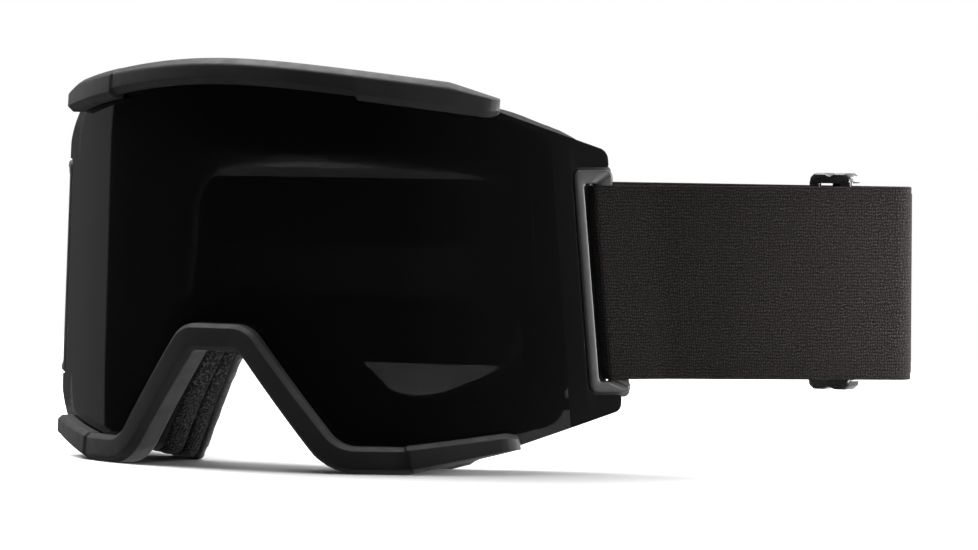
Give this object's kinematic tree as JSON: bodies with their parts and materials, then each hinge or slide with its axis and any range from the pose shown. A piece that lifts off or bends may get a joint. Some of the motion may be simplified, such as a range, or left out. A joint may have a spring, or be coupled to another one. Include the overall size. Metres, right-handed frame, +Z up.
{
  "type": "ski goggles",
  "caption": "Ski goggles with a cylindrical double lens, soft stepped rims, layered face foam, swinging strap outriggers and an elastic strap adjusted by sliding buckles.",
  "frame": {"origin": "middle of the whole object's footprint, on the surface it stands on", "axes": "+X to the wearer's left, +Y from the lens towards the face, +Z up"},
  "size_m": [0.2464, 0.1062, 0.1074],
  "materials": {
    "clear_lens": "clear inner pane",
    "dark_frame": "flexible injection-moulded frame, fine matte texture",
    "fleece": "brushed fleece facing on foam",
    "foam": "open-cell polyurethane foam",
    "hard_plastic": "moulded black acetal",
    "lens_tint": "dark tinted polycarbonate, glossy",
    "silicone": "glossy silicone print",
    "soft_frame": "soft matte elastomer over a stiffer core",
    "steel": "plain steel pin",
    "webbing": "woven elastic webbing"
  },
  "bodies": {
    "goggles": {"brow_rim": "soft_frame", "face_fleece": "fleece", "face_foam_base": "foam", "face_foam_dense": "foam", "frame_chassis": "dark_frame", "hinge_pin_left": "steel", "hinge_pin_right": "steel", "inner_lens": "clear_lens", "lens_gasket": "foam", "lower_rim": "soft_frame", "outer_lens": "lens_tint", "strap_band_left": "webbing", "strap_band_right": "webbing", "strap_grip_left": "silicone", "strap_grip_right": "silicone", "vent_filter_left": "foam", "vent_filter_right": "foam", "vent_filter_top": "foam"},
    "left_outrigger": {"outrigger_left": "soft_frame", "strap_loop_left": "webbing"},
    "right_outrigger": {"outrigger_right": "soft_frame", "strap_loop_right": "webbing"},
    "left_slider": {"slider_left": "hard_plastic"},
    "right_slider": {"slider_right": "hard_plastic"}
  },
  "joints": [
    {"name": "outrigger_left_swing", "type": "hinge", "parent": "goggles", "child": "left_outrigger", "pos_m": [0.05545, -0.00313, 0.057], "axis": [-0.0742, -0.0366, 0.9966], "range_deg": [0, 25]},
    {"name": "outrigger_right_swing", "type": "hinge", "parent": "goggles", "child": "right_outrigger", "pos_m": [-0.11085, -0.00313, 0.057], "axis": [0.0742, -0.0366, 0.9966], "range_deg": [-25, 0]},
    {"name": "slider_left_slide", "type": "slide", "parent": "goggles", "child": "left_slider", "axis": [-0.9978, -0.0664, 0], "range_m": [0, 0.012]},
    {"name": "slider_right_slide", "type": "slide", "parent": "goggles", "child": "right_slider", "axis": [-0.9974, -0.0725, 0], "range_m": [-0.011, 0]}
  ]
}
